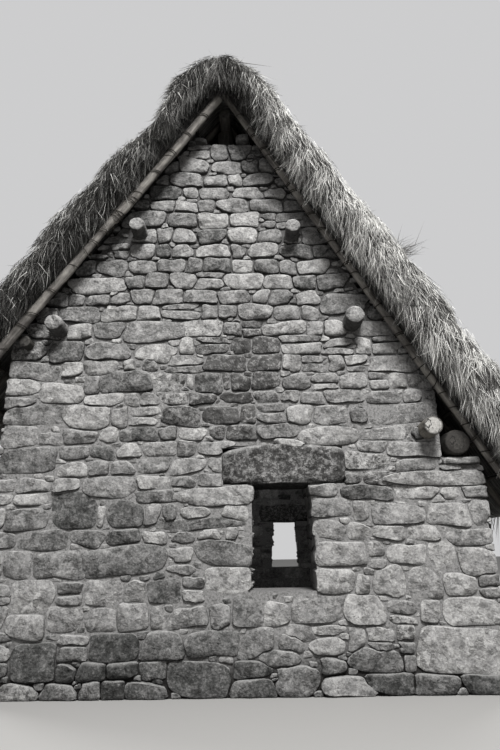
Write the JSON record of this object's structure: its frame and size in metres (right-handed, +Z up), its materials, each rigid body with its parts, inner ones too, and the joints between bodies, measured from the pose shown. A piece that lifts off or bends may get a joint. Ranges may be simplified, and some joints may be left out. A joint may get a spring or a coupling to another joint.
{
  "type": "thatched stone house",
  "caption": "One-room rubble stone house with battered walls, a low tapering window, stone pegs in the gables and a steep grass thatch on a log and pole frame.",
  "frame": {"origin": "on the ground, at the middle of the roof's plan", "axes": "+X to the right as the front gable is faced, +Y from the front gable to the back one along the ridge, +Z up"},
  "size_m": [7.6, 11.86, 7.9],
  "materials": {
    "rubble": "split fieldstone with mud joints, rough and matte",
    "lintel": "one long weathered block, dark with lichen",
    "peg": "dressed round stone, fine grained and matte",
    "log": "round log, bark partly left on",
    "pole": "peeled round pole, weathered grey",
    "thatch": "thick grass thatch, coarse and matte"
  },
  "bodies": {
    "root": {"back_gable": "rubble", "back_left_rake_pole": "pole", "back_peg_lower_left": "peg", "back_peg_lower_right": "peg", "back_peg_upper_left": "peg", "back_peg_upper_right": "peg", "back_ridge_stump": "log", "back_right_rake_pole": "pole", "back_wall_below_window": "rubble", "back_wall_left_of_window": "rubble", "back_wall_right_of_window": "rubble", "back_window_lintel": "lintel", "front_gable": "rubble", "front_left_rake_pole_lower": "pole", "front_left_rake_pole_upper": "pole", "front_peg_lower_left": "peg", "front_peg_lower_right": "peg", "front_peg_upper_left": "peg", "front_peg_upper_right": "peg", "front_ridge_stump": "log", "front_right_rake_pole": "pole", "front_wall_below_window": "rubble", "front_wall_left_of_window": "rubble", "front_wall_right_of_window": "rubble", "front_window_lintel": "lintel", "left_door_lintel": "lintel", "left_purlin_1": "pole", "left_purlin_2": "pole", "left_rafter_1": "pole", "left_rafter_2": "pole", "left_rafter_3": "pole", "left_thatch": "thatch", "left_wall_behind_door": "rubble", "left_wall_front_of_door": "rubble", "left_wall_over_door": "rubble", "left_wall_plate": "log", "ridge_log": "log", "ridge_thatch": "thatch", "right_inner_wall_plate": "log", "right_outer_wall_plate": "log", "right_purlin_1": "pole", "right_purlin_2": "pole", "right_rafter_1": "pole", "right_rafter_2": "pole", "right_rafter_3": "pole", "right_thatch": "thatch", "right_wall": "rubble"}
  },
  "joints": []
}
